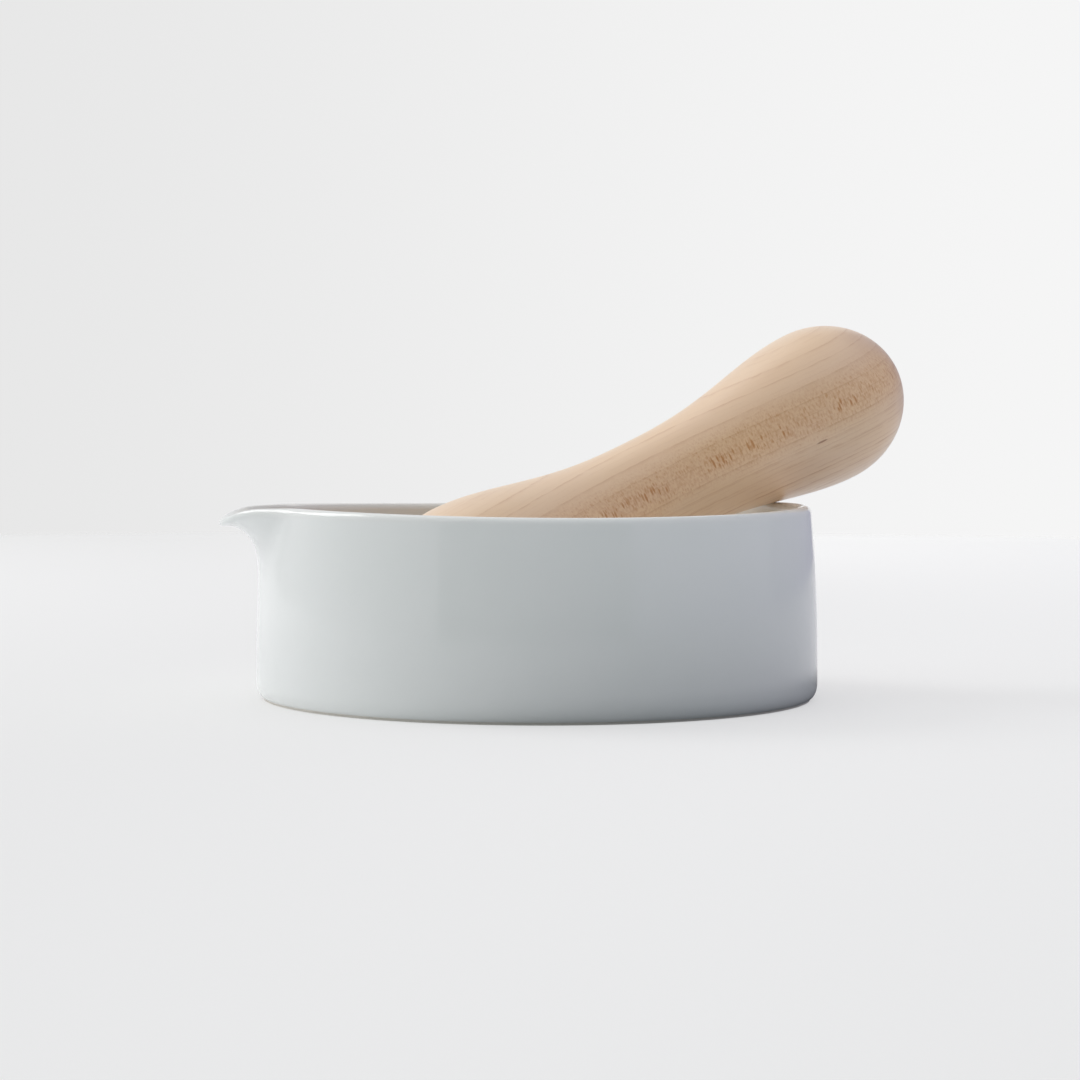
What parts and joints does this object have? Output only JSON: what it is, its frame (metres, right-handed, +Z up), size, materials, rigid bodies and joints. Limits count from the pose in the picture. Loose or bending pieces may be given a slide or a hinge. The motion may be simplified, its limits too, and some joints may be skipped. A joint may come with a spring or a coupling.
{
  "type": "mortar and pestle",
  "caption": "Low round glazed porcelain mortar with a pulled pouring spout, and a loose waisted hardwood pestle leaning on its floor and rim, for grinding and pouring.",
  "frame": {"origin": "middle of the mortar's flat foot, on the mortar's own axis", "axes": "+Z up along the mortar's axis, -X along the pouring spout, +X towards the side that the pestle leans to"},
  "size_m": [0.1913, 0.15, 0.1007],
  "materials": {
    "glazed_porcelain": "clear gloss glaze on white porcelain, foot left unglazed",
    "pale_hardwood": "fine sanded, lightly oiled, straight grain with ray flecks"
  },
  "bodies": {
    "mortar": {"mortar": "glazed_porcelain"},
    "pestle": {"pestle": "pale_hardwood"}
  },
  "joints": [
    {"name": "pestle_lift", "type": "slide", "parent": "mortar", "child": "pestle", "axis": [0, 0, 1], "range_m": [0, 0.1]}
  ]
}
